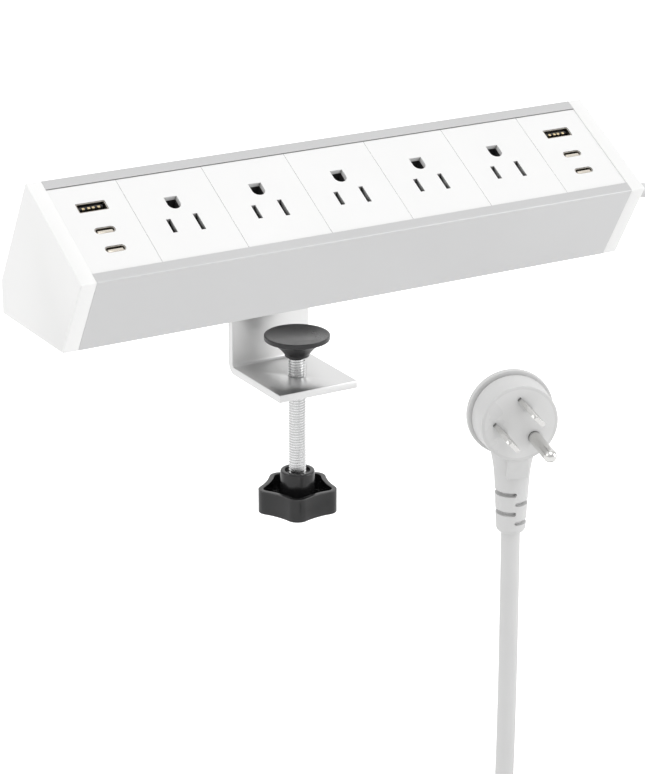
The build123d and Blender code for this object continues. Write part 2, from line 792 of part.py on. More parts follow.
line_blade, neutral_blade, pin = blade(1), blade(-1), ground_pin()
core = Pos(0, 0, -core_depth / 2) * Cylinder(core_radius, core_depth)
core = core - line_blade - neutral_blade - pin
save("plug_body", plug * plug_body())
save("plug_core", plug * core)
save("line_blade", plug * line_blade)
save("neutral_blade", plug * neutral_blade)
save("ground_pin", plug * pin)
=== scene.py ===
from math import atan2, cos, pi, radians, sin, sqrt

import bmesh
import bpy
from mathutils import Matrix, Vector


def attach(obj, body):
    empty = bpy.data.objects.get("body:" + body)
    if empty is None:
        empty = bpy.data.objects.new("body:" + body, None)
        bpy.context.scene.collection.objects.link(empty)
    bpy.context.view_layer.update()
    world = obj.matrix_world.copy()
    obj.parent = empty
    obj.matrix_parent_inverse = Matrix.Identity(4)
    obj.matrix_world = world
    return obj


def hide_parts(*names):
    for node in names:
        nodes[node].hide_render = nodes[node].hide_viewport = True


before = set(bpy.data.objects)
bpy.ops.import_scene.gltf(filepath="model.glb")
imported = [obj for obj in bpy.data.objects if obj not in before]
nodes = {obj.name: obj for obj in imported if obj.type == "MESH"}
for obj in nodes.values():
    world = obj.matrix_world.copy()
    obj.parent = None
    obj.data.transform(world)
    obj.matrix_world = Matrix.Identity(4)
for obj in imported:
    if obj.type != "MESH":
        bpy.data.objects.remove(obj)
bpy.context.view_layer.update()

# desk power strip with a screw clamp: sizes below are millimetres, made metres as each piece is finished
mm = 0.001
weld = 0.002  # points closer than this are one
scene = bpy.context.scene

# camera, light and floor

view = {"place": (-573.43, -1006.32, 374.92), "down": 20.256, "aside": 30.242, "lens": 126.97}

studio = {
    "floor": -168.0,
    "floorSize": 9000.0,
    "floorGlow": 0.04,
    "floorWhite": 0.45,  # more glow, for the eye alone, so that the floor stays white under soft shadows
    "skyColour": (1.0, 1.0, 1.0, 1.0),
    "skyBright": 0.86,
    "skyDim": 0.46,
    "skyLean": (-0.1, 0.45, 0.88),  # the way in which the sky is brightest
    # name, direction it comes from, softness in degrees, strength
    "suns": [
        ("topSun", (-0.1, -0.4, 1.0), 50, 0.75),
        ("leftSun", (-1.0, 0.1, 0.5), 40, 0.35),
        ("rightSun", (1.0, -0.75, 0.3), 40, 1.0),
        ("rearSun", (0.8, 0.9, 0.6), 60, 0.25),
    ],
}


def setCamera():
    lens = bpy.data.cameras.new("camera")
    lens.lens = view["lens"]
    lens.sensor_width = 36
    lens.clip_end = 50
    camera = bpy.data.objects.new("camera", lens)
    camera.location = Vector(view["place"]) * mm
    camera.rotation_euler = (radians(90 - view["down"]), 0, -radians(view["aside"]))
    scene.collection.objects.link(camera)
    scene.camera = camera


def setStudio():
    for name, source, softness, strength in studio["suns"]:
        lamp = bpy.data.lights.new(name, "SUN")
        lamp.angle = radians(softness)
        lamp.energy = strength
        holder = bpy.data.objects.new(name, lamp)
        holder.rotation_euler = Vector(source).to_track_quat("Z", "Y").to_euler()
        scene.collection.objects.link(holder)
    world = bpy.data.worlds.new("studio")
    scene.world = world
    world.use_nodes = True
    tree = world.node_tree
    sky = tree.nodes["Background"]
    sky.inputs["Color"].default_value = studio["skyColour"]
    way = tree.nodes.new("ShaderNodeTexCoord")
    lean = tree.nodes.new("ShaderNodeVectorMath")
    lean.operation = "DOT_PRODUCT"
    lean.inputs[1].default_value = studio["skyLean"]
    ramp = tree.nodes.new("ShaderNodeMapRange")
    ramp.inputs["From Min"].default_value = -1.0
    ramp.inputs["To Min"].default_value = studio["skyDim"]
    ramp.inputs["To Max"].default_value = studio["skyBright"]
    tree.links.new(way.outputs["Generated"], lean.inputs[0])
    tree.links.new(lean.outputs["Value"], ramp.inputs["Value"])
    tree.links.new(ramp.outputs["Result"], sky.inputs["Strength"])
    scene.view_settings.view_transform = "Standard"


setCamera()
setStudio()
print("camera and light are set")

# mesh helpers


def addPiece(name, mesh, material, slot, body, *stands):
    piece = bpy.data.objects.new(name, mesh)
    scene.collection.objects.link(piece)
    mesh.materials.clear()
    mesh.materials.append(material)
    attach(piece, body)
    if stands:
        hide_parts(*stands)
    return piece


def shadeByAngle(mesh, degreesSharp=32):
    mesh.polygons.foreach_set("use_smooth", [True] * len(mesh.polygons))
    mesh.set_sharp_from_angle(angle=radians(degreesSharp))


def finishBmesh(bm, name, place=None, sharp=32, scale=mm):
    bmesh.ops.remove_doubles(bm, verts=bm.verts, dist=weld if scale == mm else weld * mm)
    bmesh.ops.recalc_face_normals(bm, faces=bm.faces)
    if place is not None:
        bmesh.ops.transform(bm, matrix=place, verts=bm.verts)
    bmesh.ops.scale(bm, vec=(scale, scale, scale), verts=bm.verts)
    mesh = bpy.data.meshes.new(name)
    bm.to_mesh(mesh)
    bm.free()
    shadeByAngle(mesh, sharp)
    return mesh


def lathe(bm, profile, steps=64, rounds=None, segments=4):
    # a (radius, height) outline, its corners rounded, spun about the Z axis
    line = [bm.verts.new((r, 0, z)) for r, z in profile]
    edges = [bm.edges.new(pair) for pair in zip(line, line[1:])]
    bm.verts.index_update()
    for index, amount in (rounds or {}).items():
        bmesh.ops.bevel(
            bm, geom=[line[index]], offset=amount, offset_type="OFFSET", segments=segments,
            profile=0.5, affect="VERTICES", clamp_overlap=True, material=-1,
        )
    loose = [e for e in bm.edges if e.is_wire]
    ends = list({v for e in loose for v in e.verts})
    bmesh.ops.spin(
        bm, geom=ends + loose, cent=(0, 0, 0), axis=(0, 0, 1), angle=2 * pi, steps=steps, use_merge=True
    )
    bmesh.ops.remove_doubles(bm, verts=bm.verts, dist=0.001)


def roundEdges(bm, picked, amount, segments=3):
    bmesh.ops.bevel(
        bm, geom=picked, offset=amount, offset_type="OFFSET", segments=segments,
        profile=0.5, affect="EDGES", clamp_overlap=True, material=-1,
    )


def block(bm, low, high):
    made = bmesh.ops.create_cube(bm, size=1.0)["verts"]
    size = Vector(high) - Vector(low)
    middle = (Vector(high) + Vector(low)) / 2
    bmesh.ops.scale(bm, vec=size, verts=made)
    bmesh.ops.translate(bm, vec=middle, verts=made)
    return made


def combine(mesh, cutters, how):
    # boolean of finished meshes, made real
    base = bpy.data.objects.new("base", mesh)
    scene.collection.objects.link(base)
    helpers = []
    for index, cutter in enumerate(cutters):
        helper = bpy.data.objects.new("helper%d" % index, cutter)
        scene.collection.objects.link(helper)
        step = base.modifiers.new("step%d" % index, "BOOLEAN")
        step.operation = how
        step.solver = "EXACT"
        step.object = helper
        helpers.append(helper)
    graph = bpy.context.evaluated_depsgraph_get()
    result = bpy.data.meshes.new_from_object(base.evaluated_get(graph))
    for helper in helpers + [base]:
        bpy.data.objects.remove(helper)
    shadeByAngle(result)
    return result


easing = {"flat": 1.0, "sharp": 35, "shade": 40}


def easedCopy(node, width, segments=2):
    # a CAD shape's own mesh, welded, with its sharp edges slightly broken
    bm = bmesh.new()
    bm.from_mesh(nodes[node].data)
    bmesh.ops.remove_doubles(bm, verts=bm.verts, dist=weld * mm)
    bmesh.ops.dissolve_limit(bm, angle_limit=radians(easing["flat"]), verts=bm.verts, edges=bm.edges)
    sharp = [e for e in bm.edges if e.is_manifold and e.calc_face_angle(0) > radians(easing["sharp"])]
    bmesh.ops.bevel(
        bm, geom=sharp, offset=width * mm, offset_type="OFFSET", segments=segments,
        profile=0.5, affect="EDGES", clamp_overlap=True, material=-1,
    )
    bmesh.ops.remove_doubles(bm, verts=bm.verts, dist=weld * mm)
    mesh = bpy.data.meshes.new(node + "Eased")
    bm.to_mesh(mesh)
    bm.free()
    shadeByAngle(mesh, easing["shade"])
    return mesh


# the free cord

cordSizes = {
    "diameter": 7.0,
    "length": 1800.0,
    "exit": (138.3, -10.0, 17.5),
    "rest": -164.5,  # height of its middle where it lies
    "sleeveEnd": (-52.32, -248.76, -19.1),
    "coilMiddle": (-18.2, -287.6),
    "turnStart": -36.0,
    "turns": 4.38,
    "pointsPerTurn": 24,
    "outerTurn": 46.0,
    "tieLift": 1.0,
    "inward": (180, 360),  # where on each turn it moves in by a diameter, in degrees
    "climb": (880, 1120),  # where the third turn climbs over the second
    "outward": (1240, 1370),  # where the fourth moves out to the next groove
}

leadRoute = [
    (164.3, -10.0, 17.5),
    (183.5, -10.0, 17.5),
    (205.5, -10.8, 6.5),
    (218.0, -12.8, -17.5),
    (221.0, -17.0, -57.0),
    (219.5, -22.0, -98.0),
    (214.0, -31.0, -131.0),
    (203.0, -46.0, -154.0),
    (186.0, -68.0, -164.5),
    (163.0, -100.0, -164.5),
    (136.0, -143.0, -164.5),
    (110.0, -190.0, -164.5),
    (80.0, -233.0, -164.5),
    (50.2, -272.6, -164.5),
    (32.2, -296.4, -164.1),
]

uprightRoute = [
    (-60.9, -280.4, -156.7),
    (-58.6, -266.8, -152.9),
    (-55.9, -256.2, -142.8),
    (-53.6, -250.4, -128.0),
    (-52.1, -248.9, -103.0),
    (-51.9, -248.7, -60.0),
    cordSizes["sleeveEnd"],
]


def ease(value, low, high):
    share = min(max((value - low) / (high - low), 0.0), 1.0)
    return share * share * (3 - 2 * share)


def coilTurns():
    # three turns side by side on the floor, then one and a half lying in the grooves between them
    size = cordSizes
    wide, outer = size["diameter"], size["outerTurn"]
    start, stop = size["inward"]
    points = []
    count = round(size["turns"] * size["pointsPerTurn"])
    total = size["turns"] * 360
    for step in range(count + 1):
        gone = total * step / count
        radius = outer - wide * (ease(gone, start, stop) + ease(gone, start + 360, stop + 360))
        lift = 0.0
        if gone > 720:
            climb = radians(120) * ease(gone, *size["climb"])
            second = outer - wide - wide * ease(gone, start + 720, stop + 720)
            radius = second - wide * cos(climb)
            lift = wide * sin(climb)
        if gone > size["climb"][1]:
            radius = outer - 1.5 * wide + wide * ease(gone, *size["outward"])
            slip = wide * ease(gone % 360, start, stop)
            near = min(abs(radius - outer + wide * turn + slip) for turn in range(3))
            lift = sqrt(wide * wide - near * near)
        angle = radians(size["turnStart"] - gone)
        middle = size["coilMiddle"]
        height = size["rest"] + size["tieLift"] + lift
        points.append((middle[0] + radius * cos(angle), middle[1] + radius * sin(angle), height))
    return points


def makeCord(material):
    curve = bpy.data.curves.new("mainsCord", "CURVE")
    curve.dimensions = "3D"
    line = curve.splines.new("NURBS")
    route = leadRoute + coilTurns() + uprightRoute
    line.points.add(len(route) - 1)
    for point, place in zip(line.points, route):
        point.co = (place[0] * mm, place[1] * mm, place[2] * mm, 1)
    line.order_u = 3
    line.use_endpoint_u = True
    line.resolution_u = 5
    curve.bevel_depth = cordSizes["diameter"] / 2 * mm
    curve.bevel_resolution = 6
    curve.materials.append(material)
    cord = bpy.data.objects.new("mainsCord", curve)
    scene.collection.objects.link(cord)
    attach(cord, "strip")
    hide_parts("cord_lead", "cord_coil", "cord_upright")
    return cord


# shader groups shared by the materials


def addNode(tree, kind, settings=None, **values):
    node = tree.nodes.new(kind)
    for key, value in (settings or {}).items():
        setattr(node, key, value)
    for key, value in values.items():
        node.inputs[key].default_value = value
    return node


def newGroup(name, takes, gives):
    group = bpy.data.node_groups.new(name, "ShaderNodeTree")
    for label, kind, value in takes:
        socket = group.interface.new_socket(name=label, in_out="INPUT", socket_type=kind)
        socket.default_value = value
    for label in gives:
        group.interface.new_socket(name=label, in_out="OUTPUT", socket_type="NodeSocketFloat")
    return group, addNode(group, "NodeGroupInput"), addNode(group, "NodeGroupOutput")


def grainGroup():
    # fine surface height and broad unevenness
    group, given, out = newGroup(
        "grain",
        [("Scale", "NodeSocketFloat", 1500.0), ("Stretch", "NodeSocketVector", (1, 1, 1)),
         ("Blotch", "NodeSocketFloat", 30.0)],
        ["Height", "Uneven"],
    )
    link = group.links.new
    where = addNode(group, "ShaderNodeTexCoord")
    sized = addNode(group, "ShaderNodeMapping")
    link(where.outputs["Object"], sized.inputs["Vector"])
    link(given.outputs["Stretch"], sized.inputs["Scale"])
    fine = addNode(group, "ShaderNodeTexNoise", Detail=3.0, Roughness=0.6)
    link(sized.outputs["Vector"], fine.inputs["Vector"])
    link(given.outputs["Scale"], fine.inputs["Scale"])
    broad = addNode(group, "ShaderNodeTexNoise", Detail=4.0, Roughness=0.55, Distortion=0.4)
    link(where.outputs["Object"], broad.inputs["Vector"])
    link(given.outputs["Blotch"], broad.inputs["Scale"])
    link(fine.outputs["Fac"], out.inputs["Height"])
    link(broad.outputs["Fac"], out.inputs["Uneven"])
    return group


def wearGroup():
    # edges that handling has rubbed, broken up by noise
    group, given, out = newGroup(
        "edgeWear",
        [("Radius", "NodeSocketFloat", 0.0006), ("Gain", "NodeSocketFloat", 6.0),
         ("Breakup", "NodeSocketFloat", 260.0)],
        ["Mask"],
    )
    link = group.links.new
    rounded = addNode(group, "ShaderNodeBevel", {"samples": 4})
    link(given.outputs["Radius"], rounded.inputs["Radius"])
    geometry = addNode(group, "ShaderNodeNewGeometry")
    apart = addNode(group, "ShaderNodeVectorMath", {"operation": "DOT_PRODUCT"})
    link(rounded.outputs["Normal"], apart.inputs[0])
    link(geometry.outputs["Normal"], apart.inputs[1])
    turned = addNode(group, "ShaderNodeMath", {"operation": "SUBTRACT"})
    turned.inputs[0].default_value = 1.0
    link(apart.outputs["Value"], turned.inputs[1])
    strong = addNode(group, "ShaderNodeMath", {"operation": "MULTIPLY", "use_clamp": True})
    link(turned.outputs[0], strong.inputs[0])
    link(given.outputs["Gain"], strong.inputs[1])
    where = addNode(group, "ShaderNodeTexCoord")
    patches = addNode(group, "ShaderNodeTexNoise", Detail=5.0)
    link(where.outputs["Object"], patches.inputs["Vector"])
    link(given.outputs["Breakup"], patches.inputs["Scale"])
    broken = addNode(group, "ShaderNodeMath", {"operation": "MULTIPLY", "use_clamp": True})
    link(strong.outputs[0], broken.inputs[0])
    link(patches.outputs["Fac"], broken.inputs[1])
    link(broken.outputs[0], out.inputs["Mask"])
    return group


def creviceShadeGroup():
    # painted shade: 1 in narrow holes and grooves, where ambient occlusion finds shade, 0 on open faces
    group, given, out = newGroup(
        "creviceShade",
        [("Reach", "NodeSocketFloat", 0.003), ("Start", "NodeSocketFloat", 0.5),
         ("End", "NodeSocketFloat", 0.12)],
        ["Mask"],
    )
    link = group.links.new
    shade = addNode(group, "ShaderNodeAmbientOcclusion", {"samples": 8})
    link(given.outputs["Reach"], shade.inputs["Distance"])
    fade = addNode(group, "ShaderNodeMapRange")
    fade.inputs["To Min"].default_value = 1.0
    fade.inputs["To Max"].default_value = 0.0
    link(shade.outputs["AO"], fade.inputs["Value"])
    link(given.outputs["End"], fade.inputs["From Min"])
    link(given.outputs["Start"], fade.inputs["From Max"])
    link(fade.outputs["Result"], out.inputs["Mask"])
    return group


grain = grainGroup()
edgeWear = wearGroup()
creviceShade = creviceShadeGroup()


def finish(name, base, spread, rough, metal=0.0, roughSpread=0.08, scale=1500.0, stretch=(1, 1, 1),
           blotch=30.0, bump=0.1, depth=0.0001, wear=None, wearColour=None, gap=None, gapShadeColour=None,
           gapShadeStart=0.5, gapShadeEnd=0.12, **sockets):
    # one procedural material: tone that drifts, uneven gloss, grain as relief, rubbed edges, painted shade in
    # holes, slots and gaps
    material = bpy.data.materials.new(name)
    material.use_nodes = True
    tree = material.node_tree
    link = tree.links.new
    shader = tree.nodes["Principled BSDF"]
    shader.inputs["Metallic"].default_value = metal
    for key, value in sockets.items():
        shader.inputs[key.replace("_", " ")].default_value = value
    texture = addNode(
        tree, "ShaderNodeGroup", {"node_tree": grain}, Scale=scale, Stretch=stretch, Blotch=blotch
    )
    tone = addNode(tree, "ShaderNodeMix", {"data_type": "RGBA"})
    tone.inputs[6].default_value = tuple(base) + (1,)
    tone.inputs[7].default_value = tuple(spread) + (1,)
    link(texture.outputs["Uneven"], tone.inputs["Factor"])
    colour = tone.outputs[2]
    gloss = addNode(tree, "ShaderNodeMapRange")
    gloss.inputs["From Min"].default_value = 0.3
    gloss.inputs["From Max"].default_value = 0.7
    gloss.inputs["To Min"].default_value = max(rough - roughSpread, 0.02)
    gloss.inputs["To Max"].default_value = rough + roughSpread
    link(texture.outputs["Uneven"], gloss.inputs["Value"])
    link(gloss.outputs["Result"], shader.inputs["Roughness"])
    if wear:
        rub = addNode(tree, "ShaderNodeGroup", {"node_tree": edgeWear}, Radius=wear)
        worn = addNode(tree, "ShaderNodeMix", {"data_type": "RGBA"})
        worn.inputs[7].default_value = tuple(wearColour or spread) + (1,)
        link(rub.outputs["Mask"], worn.inputs["Factor"])
        link(colour, worn.inputs[6])
        colour = worn.outputs[2]
    # painted shade: colour darkened in holes, slots, grooves and seams, as far as ambient occlusion finds
    # shade there
    if gap:
        gapShadeMask = addNode(
            tree, "ShaderNodeGroup", {"node_tree": creviceShade}, Reach=gap, Start=gapShadeStart, End=gapShadeEnd
        )
        gapShade = addNode(tree, "ShaderNodeMix", {"data_type": "RGBA"})
        gapShade.inputs[7].default_value = tuple(gapShadeColour) + (1,)
        link(gapShadeMask.outputs["Mask"], gapShade.inputs["Factor"])
        link(colour, gapShade.inputs[6])
        colour = gapShade.outputs[2]
    link(colour, shader.inputs["Base Color"])
    relief = addNode(tree, "ShaderNodeBump", Strength=bump, Distance=depth)
    link(texture.outputs["Height"], relief.inputs["Height"])
    link(relief.outputs["Normal"], shader.inputs["Normal"])
    return material


def makeMaterials():
    return {
        "anodisedSilver": finish(
            "anodisedSilver", (0.58, 0.582, 0.585), (0.63, 0.63, 0.632), 0.42, metal=0.6,
            roughSpread=0.03, scale=900.0, stretch=(0.25, 1, 1), blotch=9.0, bump=0.12, wear=0.0005,
            wearColour=(0.9, 0.9, 0.9)),
        # whiteCaps: painted shade, mid grey, in the seams between the caps and the case
        "whiteCaps": finish(
            "whiteCaps", (0.81, 0.81, 0.805), (0.84, 0.84, 0.835), 0.36, roughSpread=0.05, scale=2400.0,
            bump=0.08, wear=0.0005, wearColour=(0.92, 0.92, 0.915), gap=0.0012,
            gapShadeColour=(0.25, 0.25, 0.25), gapShadeStart=0.6),
        # whiteFaces: painted shade, near black, inside the socket slots and ground holes
        "whiteFaces": finish(
            "whiteFaces", (0.79, 0.79, 0.788), (0.82, 0.82, 0.817), 0.33, roughSpread=0.05, scale=2600.0,
            bump=0.06, gap=0.0045, gapShadeColour=(0.008, 0.008, 0.008), gapShadeStart=0.72, gapShadeEnd=0.3),
        "mouldedBase": finish("mouldedBase", (0.05, 0.05, 0.052), (0.075, 0.075, 0.078), 0.5, scale=1800.0),
        "rubber": finish(
            "rubber", (0.03, 0.03, 0.031), (0.055, 0.055, 0.056), 0.72, scale=1300.0, bump=0.3, blotch=60.0),
        "brass": finish(
            "brass", (0.72, 0.52, 0.24), (0.62, 0.42, 0.19), 0.28, metal=1.0, scale=1800.0,
            stretch=(0.1, 1, 1)),
        "wireInsulation": finish("wireInsulation", (0.05, 0.28, 0.1), (0.07, 0.33, 0.12), 0.4, scale=900.0),
        "circuitBoard": finish(
            "circuitBoard", (0.02, 0.16, 0.07), (0.03, 0.22, 0.09), 0.35, scale=700.0, blotch=180.0),
        # portMetal: painted shade, near black, inside the USB ports
        "portMetal": finish(
            "portMetal", (0.62, 0.58, 0.52), (0.70, 0.66, 0.60), 0.26, metal=1.0, scale=2200.0, gap=0.004,
            gapShadeColour=(0.01, 0.01, 0.01), gapShadeStart=0.3),
        "portTongue": finish("portTongue", (0.012, 0.012, 0.013), (0.02, 0.02, 0.022), 0.4, scale=2000.0),
        "transformer": finish("transformer", (0.04, 0.035, 0.03), (0.09, 0.08, 0.07), 0.55, blotch=140.0),
        "capacitor": finish("capacitor", (0.02, 0.02, 0.025), (0.04, 0.04, 0.05), 0.3, blotch=90.0),
        "tinnedLead": finish("tinnedLead", (0.62, 0.62, 0.60), (0.7, 0.7, 0.68), 0.3, metal=1.0),
        "brushedBracket": finish(
            "brushedBracket", (0.70, 0.70, 0.70), (0.79, 0.79, 0.785), 0.37, metal=1.0, roughSpread=0.05,
            scale=1400.0, stretch=(0.03, 1, 1), blotch=24.0, bump=0.14, wear=0.0004,
            wearColour=(0.88, 0.88, 0.88)),
        "zincSteel": finish(
            "zincSteel", (0.70, 0.705, 0.71), (0.80, 0.80, 0.80), 0.24, metal=1.0, scale=1100.0, blotch=160.0,
            bump=0.08, wear=0.0003, wearColour=(0.9, 0.9, 0.9)),
        "blackPlastic": finish(
            "blackPlastic", (0.014, 0.014, 0.015), (0.02, 0.02, 0.021), 0.30, roughSpread=0.07,
            scale=1900.0, bump=0.12, wear=0.0004, wearColour=(0.06, 0.06, 0.062)),
        "knobPlastic": finish(
            "knobPlastic", (0.008, 0.008, 0.0085), (0.012, 0.012, 0.0125), 0.20, roughSpread=0.04,
            scale=1900.0, bump=0.04, wear=0.0008, wearColour=(0.16, 0.16, 0.162)),
        "contactGold": finish(
            "contactGold", (0.83, 0.66, 0.38), (0.88, 0.74, 0.48), 0.25, metal=1.0, scale=1800.0),
        "tongueMetal": finish(
            "tongueMetal", (0.70, 0.64, 0.55), (0.78, 0.73, 0.65), 0.3, metal=0.8, scale=2200.0),
        # cordWhite: painted shade, grey, in the grooves and slots of the plug and sleeves
        "cordWhite": finish(
            "cordWhite", (0.575, 0.575, 0.572), (0.625, 0.625, 0.622), 0.42, roughSpread=0.06, scale=1500.0,
            bump=0.12, gap=0.0015, gapShadeColour=(0.22, 0.22, 0.22), gapShadeStart=0.55),
        "tieBlack": finish(
            "tieBlack", (0.02, 0.02, 0.021), (0.04, 0.04, 0.042), 0.8, scale=1600.0, bump=0.5),
        "plugCore": finish(
            "plugCore", (0.62, 0.62, 0.617), (0.68, 0.68, 0.677), 0.34, scale=2400.0, bump=0.06),
        # nickelBlades: painted shade, dark grey, in the blade holes
        "nickelBlades": finish(
            "nickelBlades", (0.66, 0.655, 0.64), (0.76, 0.755, 0.74), 0.2, metal=1.0, scale=1600.0,
            stretch=(1, 1, 0.1), blotch=120.0, bump=0.05, gap=0.003, gapShadeColour=(0.05, 0.05, 0.05),
            gapShadeStart=0.85, gapShadeEnd=0.55),
    }


materials = makeMaterials()
print("materials are made:", len(materials))

# pieces that keep their CAD shape

nodeFinish = {
    "housing_profile": "anodisedSilver",
    "usb_face_left": "whiteFaces", "usb_face_right": "whiteFaces",
    "line_bus_bar": "brass", "neutral_bus_bar": "brass", "ground_bus_bar": "brass",
    "line_wire": "wireInsulation", "neutral_wire": "wireInsulation", "ground_wire": "wireInsulation",
    "bracket_screws": "zincSteel", "knob_insert": "blackPlastic",
    "plug_core": "plugCore", "ground_pin": "nickelBlades",
}
for number in range(1, 6):
    nodeFinish["outlet_face_%d" % number] = "whiteFaces"
    nodeFinish["outlet_base_%d" % number] = "mouldedBase"
for hand in ("left", "right"):
    nodeFinish["usb_board_" + hand] = "circuitBoard"
    nodeFinish["usb_a_shell_" + hand] = "portMetal"
    nodeFinish["usb_c_shells_" + hand] = "portMetal"
    nodeFinish["usb_transformer_" + hand] = "transformer"
    nodeFinish["usb_capacitors_" + hand] = "capacitor"
    nodeFinish["board_leads_" + hand] = "tinnedLead"
for node, label in nodeFinish.items():
    for place in nodes[node].material_slots:
        place.material = materials[label]
print("CAD pieces given their finish:", len(nodeFinish), "of", len(nodes))

# clamp screw with its real thread

screwSizes = {
    "radius": 3.95, "pitch": 1.25, "depth": 0.70, "top": -37.7, "low": -108.8, "steps": 36,
    "flankStart": 0.25, "crestStart": 0.5625, "crestEnd": 0.6875,  # as shares of the pitch
    "neck": 2.7, "neckSunk": 0.5, "ball": 3.5, "ballTop": -30.3, "ballLow": -33.3, "ballSteps": 40,
    "ballRounds": {1: 0.6, 2: 0.5},
}


def threadedRod():
    size = screwSizes
    bm = bmesh.new()
    pitch, crest = size["pitch"], size["radius"]
    root = crest - size["depth"]
    turns = int((size["top"] - size["low"]) / pitch) + 3
    start = size["low"] - pitch
    outline = [(root, 0.0), (root, size["flankStart"]), (crest, size["crestStart"]),
               (crest, size["crestEnd"]), (root, 1.0)]
    line = [bm.verts.new((r, 0, start + share * pitch)) for r, share in outline]
    edges = [bm.edges.new(pair) for pair in zip(line, line[1:])]
    bmesh.ops.spin(
        bm, geom=line + edges, cent=(0, 0, 0), axis=(0, 0, 1), dvec=(0, 0, pitch / size["steps"]),
        angle=2 * pi * turns, steps=size["steps"] * turns,
    )
    bmesh.ops.remove_doubles(bm, verts=bm.verts, dist=0.01)
    for height, way in ((size["top"], 1), (size["low"], -1)):
        everything = bm.verts[:] + bm.edges[:] + bm.faces[:]
        bmesh.ops.bisect_plane(
            bm, geom=everything, plane_co=(0, 0, height), plane_no=(0, 0, way), clear_outer=True,
            dist=0.0001,
        )
        rim = [e for e in bm.edges if e.is_boundary]
        bmesh.ops.holes_fill(bm, edges=rim, sides=0)
    top, low, sunk = size["ballTop"], size["ballLow"], size["top"] - size["neckSunk"]
    profile = [(0, top), (size["ball"], top), (size["ball"], low), (size["neck"], low), (size["neck"], sunk),
               (0, sunk)]
    lathe(bm, profile, steps=size["ballSteps"], rounds=size["ballRounds"])
    return finishBmesh(bm, "threadedRod", sharp=28)


# swivel pad

padSizes = {
    "top": -27.3, "radius": 14.9, "rim": 2.1, "neck": 5.6, "low": -37.5, "bore": 2.78,
    "step": 13.9, "stepWide": 0.2, "stepDeep": 0.1, "lipWide": 1.4, "lipDeep": 0.15,
    "underside": ((9.6, 4.6), (6.9, 7.4)),  # radius and depth below the top
    "neckTall": 1.0, "socket": 3.58, "socketLow": -33.4, "socketTop": -30.2, "turnSteps": 96,
    "rounds": {3: 0.25, 4: 0.3, 5: 0.6, 6: 2.2, 7: 1.6, 9: 0.5},
}


def swivelPad():
    size = padSizes
    bm = bmesh.new()
    top, low, rim = size["top"], size["low"], size["radius"]
    outline = [
        (0, top - size["stepDeep"]), (size["step"] - size["stepWide"], top - size["stepDeep"]),
        (size["step"], top), (rim, top), (rim, top - size["rim"]),
        (rim - size["lipWide"], top - size["rim"] - size["lipDeep"]),
    ]
    outline += [(radius, top - depth) for radius, depth in size["underside"]]
    outline += [
        (size["neck"], low + size["neckTall"]), (size["neck"], low), (size["bore"], low),
        (size["bore"], size["socketLow"]), (size["socket"], size["socketLow"]),
        (size["socket"], size["socketTop"]), (0, size["socketTop"]),
    ]
    lathe(bm, outline, steps=size["turnSteps"], rounds=size["rounds"])
    return finishBmesh(bm, "swivelPad", sharp=30)


# star knob

knobSizes = {
    "lobes": 5, "tip": 18.6, "valley": 15.2, "turn": 240.3, "lobeRound": 5.25, "sides": 240,
    "low": -111.8, "height": 11.0, "wall": 2.3, "floor": 3.0, "footInset": 3.2, "footDeep": 0.5,
    "footRound": 1.3, "rimRound": 0.25, "startRadius": 10.0,
    "hub": 7.9, "hubTop": -92.6, "bore": 5.8, "hubSunk": 0.5, "hubFlare": 0.5, "flareTall": 3.0,
    "boreFloor": 0.2, "hubSteps": 80, "hubRounds": {3: 0.7, 4: 0.4},
}


def starRadius(angle):
    # round lobes and hollow flanks as tangent arcs, seen from the knob's axis
    size = knobSizes
    lobe, valley = size["lobeRound"], size["valley"]
    half = pi / size["lobes"]
    away = abs((angle - radians(size["turn"]) + half) % (2 * half) - half)
    lobeFar = size["tip"] - lobe
    along = lobeFar * cos(half)
    hollow = (lobeFar ** 2 + valley ** 2 - 2 * along * valley - lobe ** 2) / (2 * (lobe + along - valley))
    hollowFar = valley + hollow
    share = lobe / (lobe + hollow)
    join = Vector((lobeFar + share * (hollowFar * cos(half) - lobeFar), share * hollowFar * sin(half)))
    if away < atan2(join.y, join.x):
        return lobeFar * cos(away) + sqrt(lobe ** 2 - (lobeFar * sin(away)) ** 2)
    away = half - away
    return hollowFar * cos(away) - sqrt(hollow ** 2 - (hollowFar * sin(away)) ** 2)


